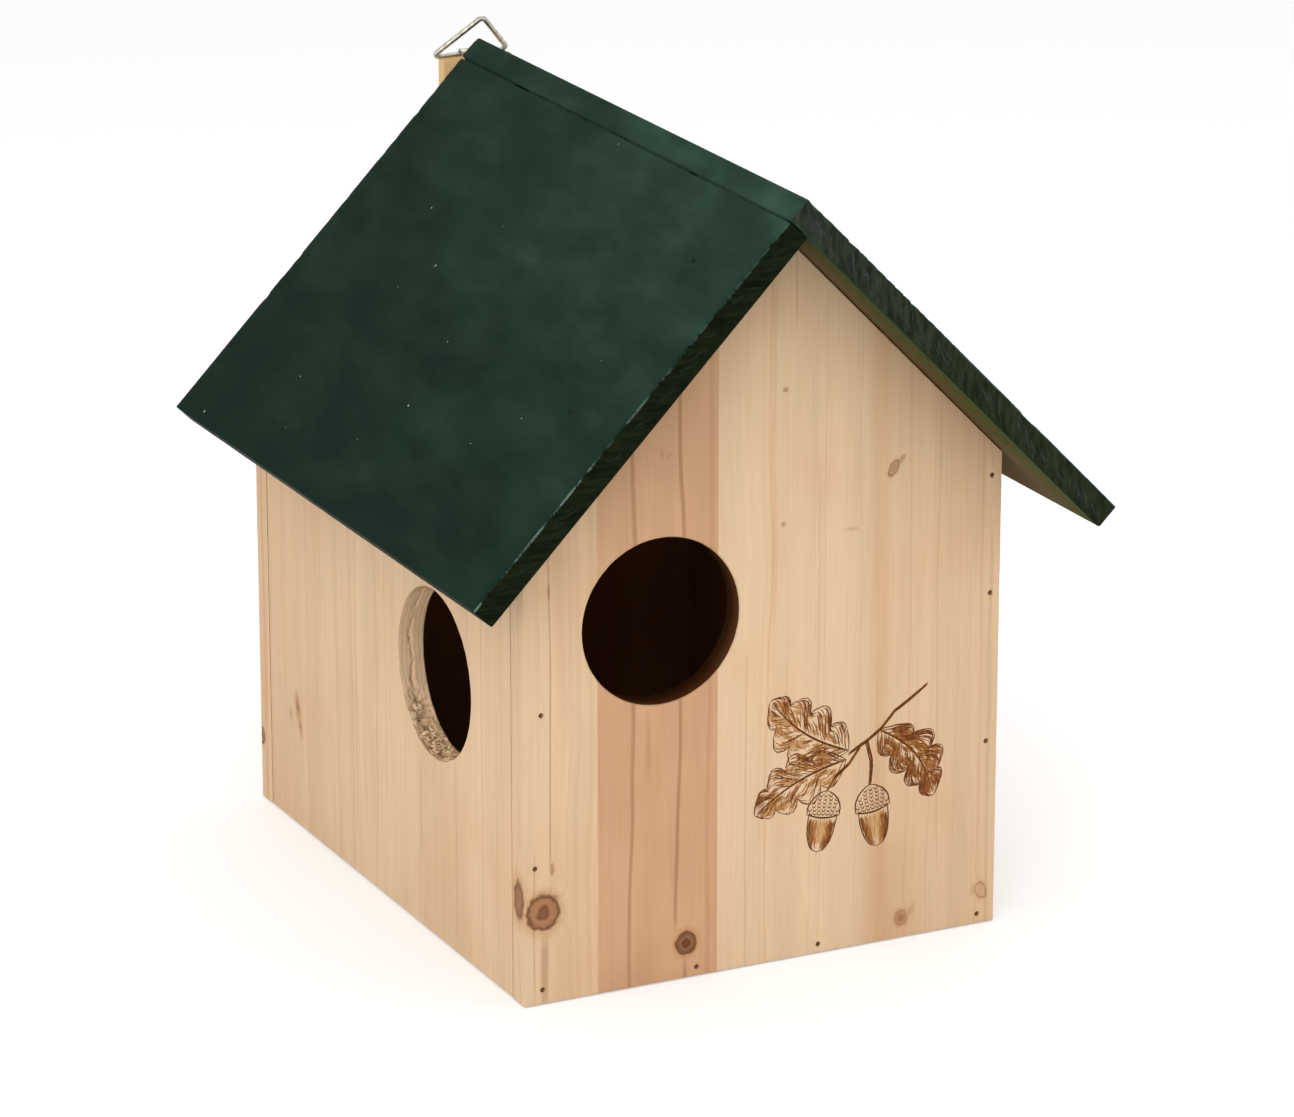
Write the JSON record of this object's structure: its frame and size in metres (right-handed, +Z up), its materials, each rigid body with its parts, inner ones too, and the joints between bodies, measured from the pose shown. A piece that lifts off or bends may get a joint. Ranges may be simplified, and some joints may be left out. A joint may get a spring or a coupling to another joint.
{
  "type": "squirrel house",
  "caption": "Wooden squirrel house with a dark green gable roof, round entrances in the front and left walls, and a wire hanger ring behind the ridge.",
  "frame": {"origin": "middle of the floor board's underside, on the surface that the house stands on", "axes": "+Z up, the front panel faces -Y, the roof ridge runs along Y, and the side entrance is on -X"},
  "size_m": [0.2443, 0.2728, 0.2923],
  "materials": {
    "bare_fir": "planed, unpainted, edge-glued boards",
    "green_painted_fir": "brushed dark green paint, low sheen",
    "zinc_plated_steel": "bright zinc plated",
    "steel_pin": "plain steel, dulled"
  },
  "bodies": {
    "house": {"back_floor_nail_1": "steel_pin", "back_floor_nail_2": "steel_pin", "back_left_nail_1": "steel_pin", "back_left_nail_2": "steel_pin", "back_left_nail_3": "steel_pin", "back_left_nail_4": "steel_pin", "back_panel": "bare_fir", "back_right_nail_1": "steel_pin", "back_right_nail_2": "steel_pin", "back_right_nail_3": "steel_pin", "back_right_nail_4": "steel_pin", "block_screw_lower": "zinc_plated_steel", "block_screw_upper": "zinc_plated_steel", "floor_board": "bare_fir", "front_floor_nail_1": "steel_pin", "front_floor_nail_2": "steel_pin", "front_left_nail_1": "steel_pin", "front_left_nail_2": "steel_pin", "front_left_nail_3": "steel_pin", "front_left_nail_4": "steel_pin", "front_panel": "bare_fir", "front_right_nail_1": "steel_pin", "front_right_nail_2": "steel_pin", "front_right_nail_3": "steel_pin", "front_right_nail_4": "steel_pin", "hanger_strap": "zinc_plated_steel", "hanging_block": "bare_fir", "left_roof_board": "green_painted_fir", "left_side_panel": "bare_fir", "ridge_nail_1": "steel_pin", "ridge_nail_2": "steel_pin", "ridge_nail_3": "steel_pin", "right_roof_board": "green_painted_fir", "right_side_panel": "bare_fir", "roof_back_left_nail_1": "steel_pin", "roof_back_left_nail_2": "steel_pin", "roof_back_right_nail_1": "steel_pin", "roof_back_right_nail_2": "steel_pin", "roof_front_left_nail_1": "steel_pin", "roof_front_left_nail_2": "steel_pin", "roof_front_right_nail_1": "steel_pin", "roof_front_right_nail_2": "steel_pin", "strap_screw": "zinc_plated_steel"},
    "ring": {"hanger_ring": "zinc_plated_steel"}
  },
  "joints": [
    {"name": "ring_swing", "type": "hinge", "parent": "house", "child": "ring", "pos_m": [0, 0.1247, 0.2758], "axis": [1, 0, 0], "range_deg": [-215, 24]}
  ]
}
